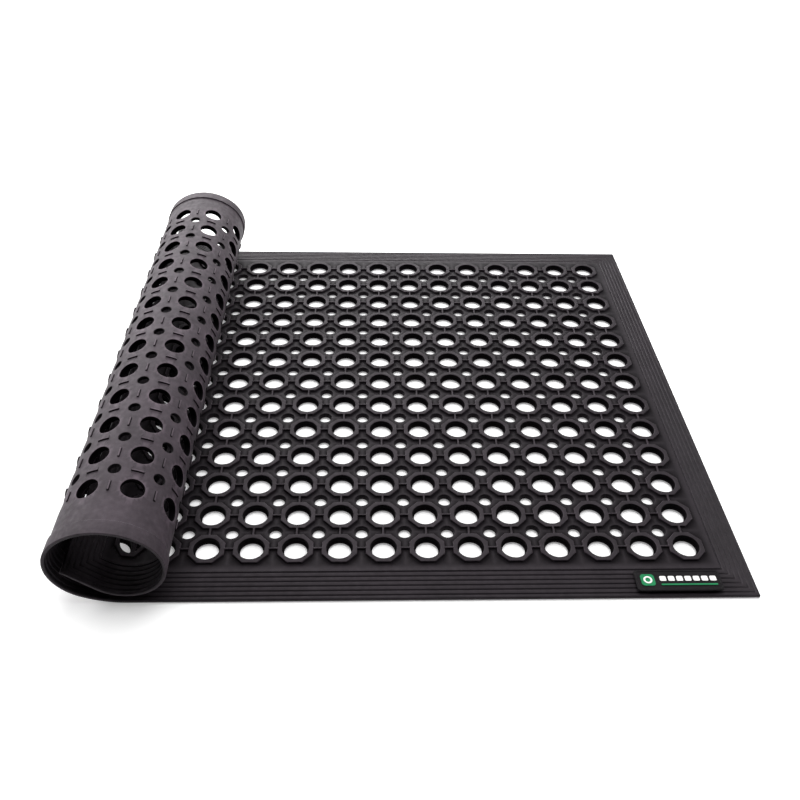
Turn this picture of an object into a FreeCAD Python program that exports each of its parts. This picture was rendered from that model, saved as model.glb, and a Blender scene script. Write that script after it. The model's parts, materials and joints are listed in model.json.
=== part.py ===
import FreeCAD, Part

import math
import os

from FreeCAD import Vector

# Anti-fatigue floor mat, half of it lying flat and the other end rolled up on top of it.
# X runs along the mat towards its flat end, Y from front to back, Z up. The origin is on
# the floor, at the middle of the footprint. Millimetres and degrees.

# Driving dimensions of the moulding
PITCH = 61.5             # spacing of the large drain holes, along and across the mat
ROWS = 13                # large holes across the mat
FLAT_COLUMNS = 13        # columns of large holes in the part that lies flat
BORDER = 81.0            # centre line of the outermost holes to the edge of the mat
THICKNESS = 12.7         # floor to the top of the collars
FOOT_HEIGHT = 2.0        # feet and edge lip below the underside of the web
WEB_TOP = 9.6            # floor to the top of the web
EDGE_HEIGHT = 4.8        # floor to the top of the edge, at the foot of the ramp
RAMP_WIDTH = 43.0        # plan width of the ramp from the edge up to the web
LIP_WIDTH = 22.0         # plan width of the lip under the edge
HOLE_TOP = 18.7          # large hole, radius at the collar's rim
HOLE_LOW = 16.0          # large hole, radius at the underside
DRAIN_TOP = 10.8         # small hole, radius at the top
DRAIN_LOW = 8.6          # small hole, radius at the underside
COLLAR_FLAT = 24.6       # octagonal collar, centre to flat
RIB_WIDTH = 2.4          # ribs that join neighbouring collars
FOOT_WIDTH = 2.0
FOOT_LENGTH = 16.0
GROOVES = 6              # tread grooves round the border
GROOVE_FIRST = 41.0      # edge of the mat to the innermost groove
GROOVE_STEP = 7.1
GROOVE_WIDTH = 2.4
GROOVE_DEPTH = 1.3
SEAM_GAP = 0.3           # clearance between neighbouring strips of the roll

# The roll: how far the sheet turns over each pitch, from the flat part to the inner end,
# and the height above the floor side at which the bent sheet keeps its length
ROLL_TURNS = (26.0, 57.0, 55.0, 42.0, 41.5, 59.5, 60.0, 61.0)
NEUTRAL_HEIGHT = 1.2

# The glued badge on the front border
BADGE_LENGTH = 119.0
BADGE_DEPTH = 33.0
BADGE_CORNER = 4.0
BADGE_HEIGHT = 2.2
BADGE_CENTRE_IN = 109.0  # right-hand edge of the mat to the middle of the badge
BADGE_FRONT_IN = 5.0     # front edge of the mat to the badge
LAND_INSET = 2.0         # the flat land moulded in the ramp, inside the badge's outline
ADHESIVE_HEIGHT = 0.4
ADHESIVE_INSET = 3.0
PRINT_HEIGHT = 0.4       # raised marks on the badge
TILE_SIZE = 19.0
TILE_CORNER = 4.5
TILE_IN = 7.5            # left-hand edge of the badge to the tile
RING_OUTER = 6.0
RING_INNER = 3.6
BAR_COUNT = 7
BAR_SIZE = (8.6, 8.0)
BAR_STEP = 11.6
BAR_FROM = 34.0          # left-hand edge of the badge to the first bar
UNDERLINE_SIZE = (78.0, 2.4)

HALF_WIDTH = (ROWS - 1) * PITCH / 2 + BORDER
ROW_PLACES = [(row - (ROWS - 1) / 2) * PITCH for row in range(ROWS)]
GAP_PLACES = [y + PITCH / 2 for y in ROW_PLACES[:-1]]
GROOVE_INSETS = [GROOVE_FIRST - GROOVE_STEP * n for n in range(GROOVES)]
OVERLAP = 0.6            # how far a raised feature is let into the web before they are joined


# ---- the run of the sheet from the flat part to the inner end of the roll ----

def roll_stations():
    """Seams of the roll as (x, z, heading), heading measured from +X towards +Z."""
    x, z, heading = -(FLAT_COLUMNS - 0.5) * PITCH, NEUTRAL_HEIGHT, 180.0
    stations = [(x, z, heading)]
    for turn in ROLL_TURNS:
        for _ in range(2):
            radius = bend_radius(turn)
            cx, cz = bend_centre((x, z, heading), radius)
            heading -= turn / 2
            x = cx - radius * math.sin(math.radians(heading))
            z = cz + radius * math.cos(math.radians(heading))
            stations.append((x, z, heading))
    return stations


def bend_radius(turn):
    return PITCH / math.radians(turn)


def bend_centre(station, radius):
    x, z, heading = station
    return (x + radius * math.sin(math.radians(heading)),
            z - radius * math.cos(math.radians(heading)))


def roll_left_edge(stations):
    """Leftmost reach of the roll: the bend whose heading passes straight up."""
    for n in range(len(stations) - 1):
        if stations[n][2] >= 90.0 >= stations[n + 1][2]:
            radius = bend_radius(ROLL_TURNS[n // 2])
            return bend_centre(stations[n], radius)[0] - radius - NEUTRAL_HEIGHT
    raise ValueError("the roll never turns upwards")


STATIONS = roll_stations()
ORIGIN_X = (BORDER + roll_left_edge(STATIONS)) / 2


# ---- two ways to lay a feature: on a straight run or round a bend ----

class StraightRun:
    """Sheet that lies flat: s runs towards -X from the seam, h up from the floor side."""

    def block(self, s0, s1, y0, y1, h0, h1):
        return Part.makeBox(s1 - s0, y1 - y0, h1 - h0, Vector(-s1, y0, h0))

    def sweep(self, outline, s0, s1):
        face = Part.Face(Part.makePolygon([Vector(-s0, y, h) for y, h in outline]))
        return face.extrude(Vector(s0 - s1, 0, 0))

    def bore(self, s, y, r_low, r_top):
        return Part.makeCone(r_low, r_top, THICKNESS, Vector(-s, y, 0), Vector(0, 0, 1))

    def diamond(self, y):
        """Prism that trims a square collar into an octagon."""
        reach = COLLAR_FLAT * math.sqrt(2)
        corners = [Vector(reach, y, 0), Vector(0, y + reach, 0),
                   Vector(-reach, y, 0), Vector(0, y - reach, 0)]
        return Part.Face(Part.makePolygon(corners + corners[:1])).extrude(
            Vector(0, 0, THICKNESS * 2))


class BentRun:
    """Sheet that turns upwards: bend axis along Y through the origin, s = 0 straight below."""

    def __init__(self, radius):
        self.radius = radius

    def depth(self, h):
        return self.radius + NEUTRAL_HEIGHT - h

    def angle(self, s):
        return math.degrees(s / self.radius)

    def sweep(self, outline, s0, s1):
        face = Part.Face(Part.makePolygon([Vector(0, y, -self.depth(h)) for y, h in outline]))
        face.rotate(Vector(), Vector(0, 1, 0), self.angle(s0))
        return face.revolve(Vector(), Vector(0, 1, 0), self.angle(s1 - s0))

    def block(self, s0, s1, y0, y1, h0, h1):
        return self.sweep([(y0, h0), (y1, h0), (y1, h1), (y0, h1), (y0, h0)], s0, s1)

    def bore(self, s, y, r_low, r_top):
        cone = Part.makeCone(r_low, r_top, THICKNESS,
                             Vector(0, y, -self.depth(0)), Vector(0, 0, 1))
        cone.rotate(Vector(), Vector(0, 1, 0), self.angle(s))
        return cone

    def diamond(self, y):
        """Prism that trims a square collar into an octagon, narrowed as the bend narrows it."""
        corner = COLLAR_FLAT * math.tan(math.radians(22.5))
        depth = self.depth((THICKNESS + WEB_TOP) / 2)
        x_flat = depth * math.sin(COLLAR_FLAT / self.radius)
        x_corner = depth * math.sin(corner / self.radius)
        slope = (COLLAR_FLAT - corner) / (x_flat - x_corner)
        reach_x = x_flat + corner / slope
        reach_y = COLLAR_FLAT + x_corner * slope
        z = -self.depth(0) - THICKNESS
        corners = [Vector(reach_x, y, z), Vector(0, y + reach_y, z),
                   Vector(-reach_x, y, z), Vector(0, y - reach_y, z)]
        return Part.Face(Part.makePolygon(corners + corners[:1])).extrude(
            Vector(0, 0, THICKNESS * 3))


# ---- the moulding ----

def ramp_height(inset):
    return EDGE_HEIGHT + (WEB_TOP - EDGE_HEIGHT) * inset / RAMP_WIDTH


def groove_outline(inset, flare=0.0):
    """V of one tread groove as (inset, height) from the edge inwards, flared above the ramp."""
    reach = GROOVE_WIDTH / 2 * (1 + flare)
    rise = GROOVE_DEPTH * flare
    return [(inset - reach, ramp_height(inset - GROOVE_WIDTH / 2) + rise),
            (inset, ramp_height(inset) - GROOVE_DEPTH),
            (inset + reach, ramp_height(inset + GROOVE_WIDTH / 2) + rise)]


def cross_section():
    """Outline across the whole mat: lip, ramps and tread grooves, as (y, h)."""
    side = [(HALF_WIDTH, 0), (HALF_WIDTH, EDGE_HEIGHT)]
    for inset in reversed(GROOVE_INSETS):
        side += [(HALF_WIDTH - i, h) for i, h in groove_outline(inset)]
    side.append((HALF_WIDTH - RAMP_WIDTH, WEB_TOP))
    lip = [(HALF_WIDTH - LIP_WIDTH, FOOT_HEIGHT), (HALF_WIDTH - LIP_WIDTH, 0)]
    half = lip + side
    other = [(-y, h) for y, h in reversed(half)]
    return half + other + half[:1]


def collar(run, y):
    """Half of an octagonal collar, on the seam side of the hole's centre line."""
    square = run.block(-COLLAR_FLAT, 0, y - COLLAR_FLAT, y + COLLAR_FLAT,
                       WEB_TOP - OVERLAP, THICKNESS)
    return square.common(run.diamond(y))


def half_column(run):
    """Sheet from a drain-hole seam, s = -PITCH / 2, to the next line of large holes, s = 0."""
    base = run.sweep(cross_section(), -PITCH / 2, 0)
    first_collar = collar(run, ROW_PLACES[0])
    raised = []
    for y in ROW_PLACES:
        moved = first_collar.copy()
        moved.translate(Vector(0, y - ROW_PLACES[0], 0))
        rib = run.block(-PITCH / 2, OVERLAP - COLLAR_FLAT, y - RIB_WIDTH / 2, y + RIB_WIDTH / 2,
                        WEB_TOP - OVERLAP, THICKNESS)
        foot = run.block(-PITCH / 2, (FOOT_WIDTH - PITCH) / 2, y - FOOT_LENGTH / 2,
                         y + FOOT_LENGTH / 2, 0, FOOT_HEIGHT + OVERLAP)
        raised += [moved, rib, foot]
    half_gap = PITCH / 2 - COLLAR_FLAT + OVERLAP
    for y in GAP_PLACES:
        rib = run.block(-RIB_WIDTH / 2, 0, y - half_gap, y + half_gap,
                        WEB_TOP - OVERLAP, THICKNESS)
        foot = run.block(-FOOT_LENGTH / 2, 0, y - FOOT_WIDTH / 2, y + FOOT_WIDTH / 2,
                         0, FOOT_HEIGHT + OVERLAP)
        raised += [rib, foot]
    bores = [run.bore(0, y, HOLE_LOW, HOLE_TOP) for y in ROW_PLACES]
    bores += [run.bore(-PITCH / 2, y, DRAIN_LOW, DRAIN_TOP) for y in GAP_PLACES]
    return base.fuse(raised).cut(bores)


def other_way_round(shape):
    """The same shape with s running the other way."""
    return shape.mirror(Vector(), Vector(1, 0, 0))


def faceted(points_a, points_b):
    """Solid between two outlines whose matching corners are joined by flat sides."""
    faces = [Part.Face(Part.makePolygon(points_a + points_a[:1])),
             Part.Face(Part.makePolygon(points_b + points_b[:1]))]
    for n in range(len(points_a)):
        m = (n + 1) % len(points_a)
        quad = [points_a[n], points_a[m], points_b[m], points_b[n], points_a[n]]
        faces.append(Part.Face(Part.makePolygon(quad)))
    return Part.makeSolid(Part.makeShell(faces))


def border_turn(corners_in, x_seam, x_edge):
    """Cutters that follow the border round one end of the mat, mitred at both corners.

    corners_in lists the cutter's (inset from the edge, height) points.
    """
    toward = math.copysign(1.0, x_edge - x_seam)

    def station(n, inset):
        x = x_edge - toward * inset if n in (1, 2) else x_seam
        y = HALF_WIDTH - inset if n in (2, 3) else inset - HALF_WIDTH
        return x, y

    rings = []
    for n in range(4):
        rings.append([Vector(*station(n, inset), h) for inset, h in corners_in])
    return [faceted(rings[n], rings[n + 1]) for n in range(3)]


def end_border(x_seam, x_edge):
    """Border across one end of the mat, beyond the last column of holes."""
    x0, x1 = sorted((x_seam, x_edge))
    body = Part.makeBox(x1 - x0, 2 * HALF_WIDTH, WEB_TOP, Vector(x0, -HALF_WIDTH, 0))
    toward = math.copysign(1.0, x_edge - x_seam)
    p0, p1 = sorted((x_seam - toward, x_edge - toward * LIP_WIDTH))
    inner = HALF_WIDTH - LIP_WIDTH
    cutters = [Part.makeBox(p1 - p0, 2 * inner, FOOT_HEIGHT, Vector(p0, -inner, 0))]
    cutters += border_turn([(0, EDGE_HEIGHT), (RAMP_WIDTH, WEB_TOP), (0, WEB_TOP)],
                           x_seam, x_edge)
    ramped = body.cut(cutters)
    grooves = []
    for inset in GROOVE_INSETS:
        grooves += border_turn(groove_outline(inset, flare=0.5), x_seam, x_edge)
    return ramped.cut(grooves)


def flat_panel():
    """The part of the mat that lies on the floor, with three of its four borders."""
    half = half_column(StraightRun())
    column = half.fuse(other_way_round(half))
    pieces = [end_border(PITCH / 2, BORDER), badge_land()]
    for n in range(FLAT_COLUMNS):
        moved = column.copy()
        moved.translate(Vector(-n * PITCH, 0, 0))
        pieces.append(moved)
    panel = pieces[0].fuse(pieces[1:])
    trim = Part.makeBox(SEAM_GAP, 3 * HALF_WIDTH, 4 * THICKNESS,
                        Vector(STATIONS[0][0] - SEAM_GAP / 2, -1.5 * HALF_WIDTH, -THICKNESS))
    return single(panel.cut(trim))


def roll_strips(column):
    """The two strips of one pitch of the roll, either side of its line of large holes."""
    turn = ROLL_TURNS[column]
    radius = bend_radius(turn)
    run = BentRun(radius)
    keep = run.block((SEAM_GAP - PITCH) / 2, -SEAM_GAP / 2, -2 * HALF_WIDTH, 2 * HALF_WIDTH,
                     -THICKNESS, 2 * THICKNESS)
    near = half_column(run).common(keep)
    x, z, heading = STATIONS[2 * column]
    centre = bend_centre((x, z, heading), radius)
    placed = []
    for strip in (near, other_way_round(near)):
        strip.rotate(Vector(), Vector(0, 1, 0), 180.0 - heading + turn / 2)
        strip.translate(Vector(centre[0], 0, centre[1]))
        placed.append(single(strip))
    return placed


def inner_end():
    """Straight border at the inner end of the roll."""
    length = BORDER - PITCH / 2
    end = end_border(-SEAM_GAP / 2, -length)
    end.translate(Vector(0, 0, -NEUTRAL_HEIGHT))
    x, z, heading = STATIONS[-1]
    end.rotate(Vector(), Vector(0, 1, 0), 180.0 - heading)
    end.translate(Vector(x, 0, z))
    return single(end)


def single(shape):
    """The one solid in a shape, or an error if it fell apart."""
    if len(shape.Solids) != 1:
        raise ValueError(f"expected one solid, found {len(shape.Solids)}")
    return shape.Solids[0]


# ---- the badge ----

def rounded_plate(length, depth, corner, height, centre):
    """Plate with rounded corners, standing on centre."""
    plate = Part.makeBox(length, depth, height, centre - Vector(length / 2, depth / 2, 0))
    upright = [edge for edge in plate.Edges
               if abs(edge.Vertexes[0].Point.z - edge.Vertexes[-1].Point.z) > height / 2]
    return plate.makeFillet(corner, upright)


def badge_centre():
    return BORDER - BADGE_CENTRE_IN, BADGE_FRONT_IN + BADGE_DEPTH / 2 - HALF_WIDTH


def badge_land():
    """Flat land in the front ramp that carries the badge."""
    x, y = badge_centre()
    return rounded_plate(BADGE_LENGTH - 2 * LAND_INSET, BADGE_DEPTH - 2 * LAND_INSET,
                         BADGE_CORNER - LAND_INSET, WEB_TOP - FOOT_HEIGHT,
                         Vector(x, y, FOOT_HEIGHT))


def badge_parts():
    """The glued badge, layer by layer, as a dictionary of node name to shape."""
    x, y = badge_centre()
    left = x - BADGE_LENGTH / 2
    z_plate = WEB_TOP + ADHESIVE_HEIGHT
    z_print = z_plate + BADGE_HEIGHT
    tile_x = left + TILE_IN + TILE_SIZE / 2
    bars_y = y + 2.2
    bars = [rounded_plate(BAR_SIZE[0], BAR_SIZE[1], 1.6, PRINT_HEIGHT,
                          Vector(left + BAR_FROM + BAR_STEP * n + BAR_SIZE[0] / 2, bars_y, z_print))
            for n in range(BAR_COUNT)]
    bars_middle = left + BAR_FROM + (BAR_STEP * (BAR_COUNT - 1) + BAR_SIZE[0]) / 2
    ring = Part.makeCylinder(RING_OUTER, PRINT_HEIGHT, Vector(tile_x, y, z_print + PRINT_HEIGHT))
    ring = ring.cut(Part.makeCylinder(RING_INNER, PRINT_HEIGHT,
                                      Vector(tile_x, y, z_print + PRINT_HEIGHT)))
    return {
        "badge_adhesive": rounded_plate(BADGE_LENGTH - 2 * ADHESIVE_INSET,
                                        BADGE_DEPTH - 2 * ADHESIVE_INSET, 2.0,
                                        ADHESIVE_HEIGHT, Vector(x, y, WEB_TOP)),
        "badge_plate": rounded_plate(BADGE_LENGTH, BADGE_DEPTH, BADGE_CORNER, BADGE_HEIGHT,
                                     Vector(x, y, z_plate)),
        "badge_tile": rounded_plate(TILE_SIZE, TILE_SIZE, TILE_CORNER, PRINT_HEIGHT,
                                    Vector(tile_x, y, z_print)),
        "badge_ring": ring,
        "badge_bars": Part.makeCompound(bars),
        "badge_underline": rounded_plate(UNDERLINE_SIZE[0], UNDERLINE_SIZE[1], 1.0, PRINT_HEIGHT,
                                         Vector(bars_middle, y - 7.6, z_print)),
    }


def main():
    os.makedirs("parts", exist_ok=True)
    nodes = {"flat_panel": flat_panel(), "roll_end": inner_end()}
    for column in range(len(ROLL_TURNS)):
        for number, strip in enumerate(roll_strips(column), start=2 * column + 1):
            nodes[f"roll_strip_{number:02d}"] = strip
    nodes.update(badge_parts())
    for name, shape in nodes.items():
        shape.translate(Vector(-ORIGIN_X, 0, 0))
        shape.exportStep(f"parts/{name}.step")


main()
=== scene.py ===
"""Looks of the half-rolled rubber anti-fatigue mat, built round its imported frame."""

import json
import logging
import math
from dataclasses import dataclass, field
from enum import Enum

import bmesh
import bpy
import numpy as np
from mathutils import Matrix, Vector


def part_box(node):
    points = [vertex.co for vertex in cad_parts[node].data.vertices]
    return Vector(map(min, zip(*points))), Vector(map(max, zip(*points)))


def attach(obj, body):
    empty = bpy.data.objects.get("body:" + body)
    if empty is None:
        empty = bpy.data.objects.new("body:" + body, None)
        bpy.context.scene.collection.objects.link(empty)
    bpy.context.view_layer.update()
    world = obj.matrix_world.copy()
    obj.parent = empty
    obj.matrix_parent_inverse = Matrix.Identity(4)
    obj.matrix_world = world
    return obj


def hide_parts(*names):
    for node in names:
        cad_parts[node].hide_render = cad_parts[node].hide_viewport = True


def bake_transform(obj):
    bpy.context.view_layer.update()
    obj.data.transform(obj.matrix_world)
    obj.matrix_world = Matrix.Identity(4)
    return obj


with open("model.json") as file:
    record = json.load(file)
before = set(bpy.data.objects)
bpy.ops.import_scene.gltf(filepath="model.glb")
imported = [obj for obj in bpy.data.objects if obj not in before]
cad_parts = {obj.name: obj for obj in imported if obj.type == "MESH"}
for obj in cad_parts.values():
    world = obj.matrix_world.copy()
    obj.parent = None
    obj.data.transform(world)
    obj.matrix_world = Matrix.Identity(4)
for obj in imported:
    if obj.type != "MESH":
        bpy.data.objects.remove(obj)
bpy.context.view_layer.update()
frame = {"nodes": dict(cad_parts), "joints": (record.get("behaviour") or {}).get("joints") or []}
LOG = logging.getLogger("mat")
MM = 0.001               # one millimetre in the frame's metres
MAIN_BODY = "flat_panel"
WELD = 0.02              # points of the sheet closer than this, in mm, are one point


class Slot(Enum):
    """Material slots of the record."""

    RUBBER = "rubber"
    BADGE = "badge_black"
    GREEN = "badge_green"
    WHITE = "badge_white"
    ADHESIVE = "adhesive"


class Corner(Enum):
    """What an eighth of a tile meets at its edge and its corner."""

    INNER = "rib and drain"
    BESIDE_BORDER = "rib only"
    ON_BORDER = "neither"


# ---------------------------------------------------------------- materials

def linear(code: str) -> tuple[float, float, float, float]:
    """Turns an sRGB hex colour to linear.

    Args:
        code: colour such as "#3a393c".
    Returns:
        Red, green, blue and alpha for a shader socket.
    """
    parts = [int(code[n:n + 2], 16) / 255 for n in (1, 3, 5)]
    rgb = [p / 12.92 if p <= 0.04045 else ((p + 0.055) / 1.055) ** 2.4 for p in parts]
    return rgb[0], rgb[1], rgb[2], 1.0


def add_node(tree: bpy.types.NodeTree, kind: str, settings: dict | None = None,
             inputs: dict | None = None) -> bpy.types.Node:
    """Adds one node with its settings, values and links.

    Args:
        tree: node tree to add to.
        kind: the node's type name.
        settings: properties of the node.
        inputs: socket name or number to a value, or to an output socket to link from.
    Returns:
        The new node.
    """
    node = tree.nodes.new(kind)
    for name, value in (settings or {}).items():
        setattr(node, name, value)
    for key, value in (inputs or {}).items():
        if isinstance(value, bpy.types.NodeSocket):
            tree.links.new(value, node.inputs[key])
        else:
            node.inputs[key].default_value = value
    return node


def ramp(tree: bpy.types.NodeTree, factor: bpy.types.NodeSocket, low: float, high: float,
         to_low: float, to_high: float) -> bpy.types.NodeSocket:
    """Maps one range of a value to another, clamped.

    Args:
        tree: node tree to add to.
        factor: socket to map.
        low: input that gives to_low.
        high: input that gives to_high.
        to_low: lower output.
        to_high: upper output.
    Returns:
        The mapped value's socket.
    """
    node = add_node(tree, "ShaderNodeMapRange", {"clamp": True},
                    {"Value": factor, "From Min": low, "From Max": high,
                     "To Min": to_low, "To Max": to_high})
    return node.outputs["Result"]


@dataclass(frozen=True)
class RubberFinish:
    """Nitrile rubber, compression moulded: a matt dark grey with a fine spark-eroded grain.

    The mould leaves a soft sheen. Handling leaves paler, smoother edges on what stands
    proud, and a thin bloom that comes and goes over the sheet. The colour also holds
    painted shade in hollows and a painted sheen that makes the whole underside paler.
    """

    name: str = "moulded_nitrile_rubber"
    body_colour: str = "#161316"
    bloom_colour: str = "#211d21"
    # pale of rubbed edges, also used for the painted sheen on the underside
    worn_and_sheen_colour: str = "#62565f"
    shade_colour: str = "#030203"
    grain_mm: float = 1.4        # real grain is 0.1 mm: coarser here, so that it shows
    bloom_mm: float = 48.0
    fleck_mm: float = 8.0
    roughness: tuple[float, float] = (0.52, 0.66)
    place_attribute: str = "sheet_place"
    # point value that carries wear, painted sheen and painted shade
    wear_sheen_shade_attribute: str = "wear_with_painted_sheen_and_shade"

    def build(self) -> bpy.types.Material:
        """Builds the material; its patterns follow the sheet round the roll."""
        material = bpy.data.materials.new(self.name)
        material.use_nodes = True
        tree = material.node_tree
        shader = tree.nodes["Principled BSDF"]
        place = add_node(tree, "ShaderNodeAttribute",
                         {"attribute_name": self.place_attribute}).outputs["Vector"]
        wear_sheen_shade = add_node(tree, "ShaderNodeAttribute",
                        {"attribute_name": self.wear_sheen_shade_attribute}).outputs["Fac"]
        bloom = self.noise(tree, place, self.bloom_mm, 5.0, 0.62)
        fleck = self.noise(tree, place, self.fleck_mm, 3.0, 0.55)
        grain = self.noise(tree, place, self.grain_mm, 2.0, 0.5)
        bloomed = self.mix(tree, ramp(tree, bloom, 0.38, 0.72, 0.0, 0.8),
                           linear(self.body_colour), linear(self.bloom_colour))
        flecked = self.mix(tree, ramp(tree, fleck, 0.56, 0.74, 0.0, 0.35),
                           bloomed, linear(self.bloom_colour))
        uneven = add_node(tree, "ShaderNodeMath", {"operation": "MULTIPLY"},
                          {0: ramp(tree, bloom, 0.32, 0.68, 0.5, 1.0),
                           1: ramp(tree, fleck, 0.3, 0.7, 0.7, 1.0)}).outputs[0]
        # paler where the value passes 0.5: rubbed edges, bar soles and hole rims, and a painted
        # sheen over the whole underside
        scuff_and_sheen = add_node(tree, "ShaderNodeMath", {"operation": "MULTIPLY"},
                         {0: ramp(tree, wear_sheen_shade, 0.5, 1.0, 0.0, 0.85), 1: uneven}).outputs[0]
        worn_and_sheen = self.mix(tree, scuff_and_sheen, flecked, linear(self.worn_and_sheen_colour))
        # darker where the value falls below 0.4: painted shade in the holes, on the web and along
        # the feet of collars, ribs and bars, with the reflection turned down there as well
        shaded = self.mix(tree, ramp(tree, wear_sheen_shade, 0.0, 0.4, 0.95, 0.0),
                          worn_and_sheen, linear(self.shade_colour))
        tree.links.new(shaded, shader.inputs["Base Color"])
        tree.links.new(ramp(tree, fleck, 0.3, 0.7, self.roughness[1], self.roughness[0]),
                       shader.inputs["Roughness"])
        shader.inputs["IOR"].default_value = 1.46
        tree.links.new(ramp(tree, wear_sheen_shade, 0.0, 0.4, 0.02, 0.2),
                       shader.inputs["Specular IOR Level"])
        shader.inputs["Specular Tint"].default_value = linear("#fff0fb")
        relief = add_node(tree, "ShaderNodeBump", {},
                          {"Height": grain, "Strength": 0.35, "Distance": 0.12 * MM})
        waves = add_node(tree, "ShaderNodeBump", {},
                         {"Height": bloom, "Strength": 0.25, "Distance": 1.2 * MM,
                          "Normal": relief.outputs["Normal"]})
        tree.links.new(waves.outputs["Normal"], shader.inputs["Normal"])
        return material

    @staticmethod
    def noise(tree: bpy.types.NodeTree, place: bpy.types.NodeSocket, size_mm: float,
              detail: float, rough: float) -> bpy.types.NodeSocket:
        """Adds noise whose largest lumps are about size_mm across.

        Args:
            tree: node tree to add to.
            place: coordinates in metres.
            size_mm: width of a lump.
            detail: octaves.
            rough: strength of the finer octaves.
        Returns:
            The noise's value.
        """
        node = add_node(tree, "ShaderNodeTexNoise", {},
                        {"Vector": place, "Scale": 1 / (size_mm * MM), "Detail": detail,
                         "Roughness": rough})
        return node.outputs["Fac"]

    @staticmethod
    def mix(tree: bpy.types.NodeTree, factor: bpy.types.NodeSocket,
            first: tuple | bpy.types.NodeSocket,
            second: tuple | bpy.types.NodeSocket) -> bpy.types.NodeSocket:
        """Mixes two colours.

        Args:
            tree: node tree to add to.
            factor: share of the second colour.
            first: a colour, or the socket that gives it.
            second: a colour, or the socket that gives it.
        Returns:
            The mixed colour's socket.
        """
        node = add_node(tree, "ShaderNodeMix", {"data_type": "RGBA"},
                        {"Factor": factor, 6: first, 7: second})
        return node.outputs[2]


@dataclass(frozen=True)
class VinylFinish:
    """Soft PVC poured in a mould: smooth, faintly waxy, with a slight unevenness of its own."""

    name: str
    colour: str
    second_colour: str
    roughness: tuple[float, float] = (0.34, 0.48)
    mottle_mm: float = 9.0
    grain_mm: float = 0.9        # the mould's own texture, finer than the mottle

    def build(self) -> bpy.types.Material:
        """Builds the material on Object coordinates."""
        material = bpy.data.materials.new(self.name)
        material.use_nodes = True
        tree = material.node_tree
        shader = tree.nodes["Principled BSDF"]
        place = add_node(tree, "ShaderNodeTexCoord").outputs["Object"]
        mottle = RubberFinish.noise(tree, place, self.mottle_mm, 3.0, 0.55)
        grain = RubberFinish.noise(tree, place, self.grain_mm, 2.0, 0.5)
        colour = RubberFinish.mix(tree, ramp(tree, mottle, 0.35, 0.7, 0.0, 1.0),
                                  linear(self.colour), linear(self.second_colour))
        tree.links.new(colour, shader.inputs["Base Color"])
        tree.links.new(ramp(tree, mottle, 0.3, 0.7, *self.roughness),
                       shader.inputs["Roughness"])
        shader.inputs["IOR"].default_value = 1.5
        shader.inputs["Specular IOR Level"].default_value = 0.1
        relief = add_node(tree, "ShaderNodeBump", {},
                          {"Height": grain, "Strength": 0.25, "Distance": 0.05 * MM})
        tree.links.new(relief.outputs["Normal"], shader.inputs["Normal"])
        return material


# ---------------------------------------------------------------- the sheet

Point = tuple[float, float, float]


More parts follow.
